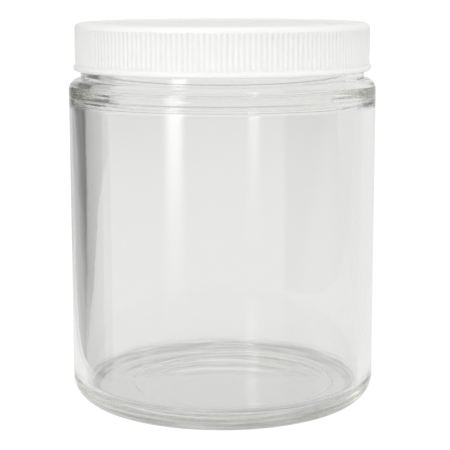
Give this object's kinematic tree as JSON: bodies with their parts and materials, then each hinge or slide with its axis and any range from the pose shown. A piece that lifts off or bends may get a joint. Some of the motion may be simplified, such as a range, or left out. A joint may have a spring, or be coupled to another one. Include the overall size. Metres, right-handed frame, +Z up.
{
  "type": "screw-cap glass jar",
  "caption": "Straight-sided clear glass jar with a wide mouth, closed by a ribbed white plastic screw cap over a foam sealing liner",
  "frame": {"origin": "Middle of the jar's foot, in the plane that it stands on.", "axes": "+Z is up along the jar's axis, out of its mouth. +X is to the right and -Y is towards the camera of the picture. The jar is round, so X and Y are otherwise free."},
  "size_m": [0.075, 0.075, 0.0932],
  "materials": {
    "clear_glass": "clear, smooth, slightly green in thick places",
    "white_plastic": "satin white moulded polypropylene",
    "liner_foam": "matt white foamed polyethylene"
  },
  "bodies": {
    "jar": {"glass_jar": "clear_glass"},
    "liner": {"cap_liner": "liner_foam"},
    "cap": {"screw_cap": "white_plastic"}
  },
  "joints": [
    {"name": "cap_lift", "type": "slide", "parent": "jar", "child": "liner", "axis": [0, 0, 1], "range_m": [0, 0.0096]},
    {"name": "cap_turn", "type": "hinge", "parent": "liner", "child": "cap", "pos_m": [0, 0, 0.0912], "axis": [0, 0, 1], "range_deg": [0, 810]}
  ],
  "couplings": [
    {"joint": "cap_lift", "follows": "cap_turn", "m_per_rad": 0.00067375}
  ]
}
